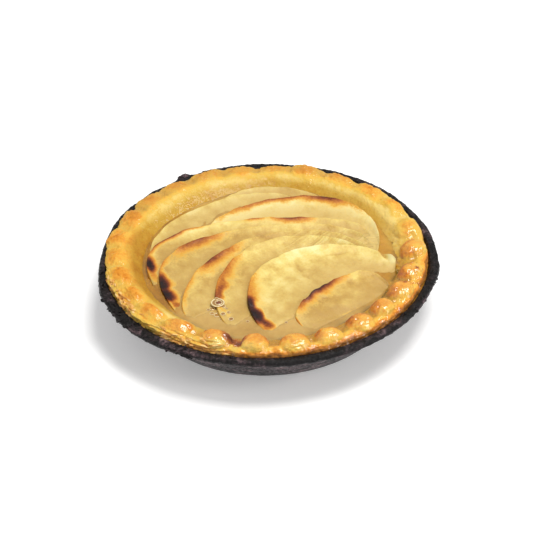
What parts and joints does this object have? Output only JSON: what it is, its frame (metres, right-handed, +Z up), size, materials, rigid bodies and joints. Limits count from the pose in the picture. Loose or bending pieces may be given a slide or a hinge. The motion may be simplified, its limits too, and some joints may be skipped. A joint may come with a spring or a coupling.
{
  "type": "apple tartlet",
  "caption": "Round shortcrust tartlet in its own dark baking tin, with a hand-crimped rim, pale custard and shingled half-moon apple slices with browned edges.",
  "frame": {"origin": "middle of the tin's flat base, where it stands", "axes": "+Z up out of the tart; -Y towards the glazed front of the rim, +X to the right of it"},
  "size_m": [0.119, 0.12, 0.0223],
  "materials": {
    "tin": "blackened baking tin with baked-on crust, uneven semi-gloss",
    "crust": "golden baked shortcrust with a patchy glaze",
    "custard": "pale tan baked custard, moist",
    "apple": "baked pale yellow apple flesh with browned edges, moist"
  },
  "bodies": {
    "root": {"tin": "tin", "pastry_shell": "crust", "filling": "custard", "apple_slice_01": "apple", "apple_slice_02": "apple", "apple_slice_03": "apple", "apple_slice_04": "apple", "apple_slice_05": "apple", "apple_slice_06": "apple", "apple_slice_07": "apple", "apple_slice_08": "apple", "apple_slice_09": "apple"}
  },
  "joints": []
}
